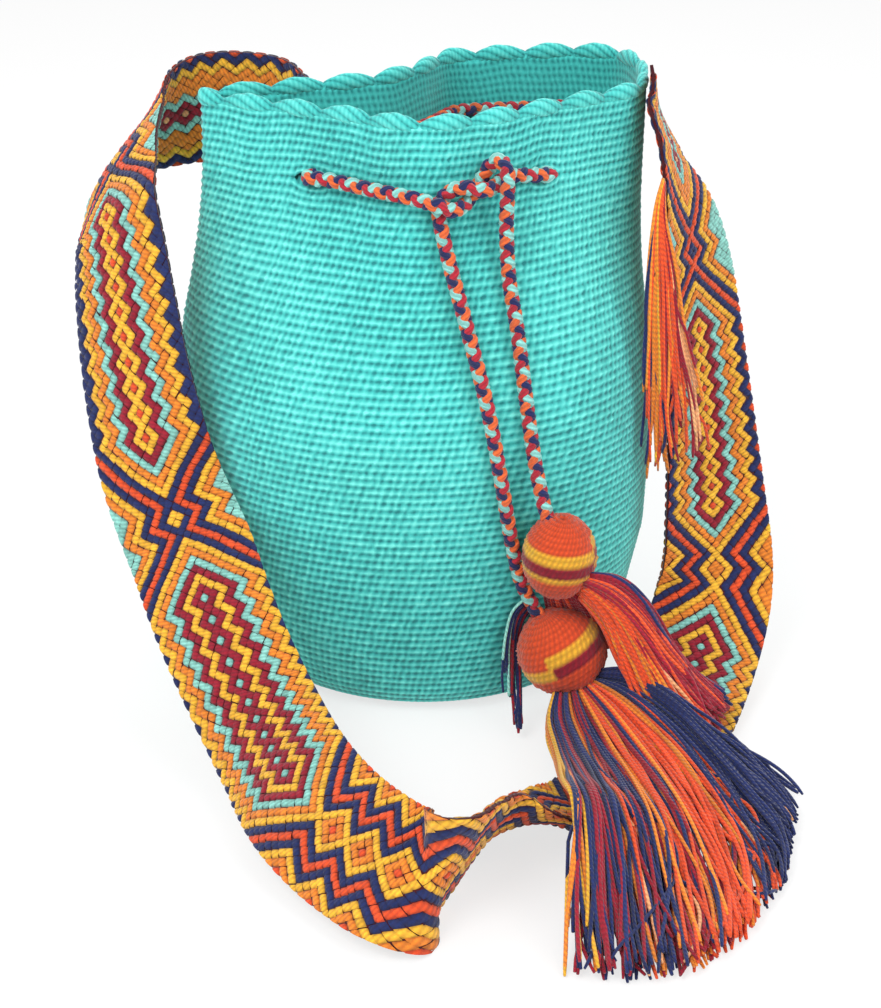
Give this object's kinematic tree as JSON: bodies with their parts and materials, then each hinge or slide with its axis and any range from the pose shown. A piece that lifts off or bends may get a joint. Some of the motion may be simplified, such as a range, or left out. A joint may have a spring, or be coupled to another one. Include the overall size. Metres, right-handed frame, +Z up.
{
  "type": "bucket bag",
  "caption": "Crocheted bucket bag with a round flat base, a scalloped open mouth, a drawstring tied in front with ball tassels, and a wide patterned shoulder strap.",
  "frame": {"origin": "centre of the flat round base, on the surface the bag stands on", "axes": "+Z up, -Y towards the bag's front, where the drawstring is tied; the strap lies to -X, -Y and +X"},
  "size_m": [0.3404, 0.4091, 0.2957],
  "materials": {
    "turquoise": "matte",
    "navy": "matte",
    "orange": "matte",
    "crimson": "matte",
    "strap_red": "matte",
    "cord_teal": "matte"
  },
  "bodies": {
    "root": {"bag_body": "turquoise", "drawstring": "cord_teal", "ball_upper": "orange", "ball_lower": "orange", "strap": "strap_red", "strap_tail": "orange", "fringe_upper_right": "crimson", "fringe_upper_left": "navy", "fringe_lower_left": "navy", "fringe_lower_middle": "orange", "fringe_lower_right": "orange", "fringe_lower_outer": "navy"}
  },
  "joints": []
}
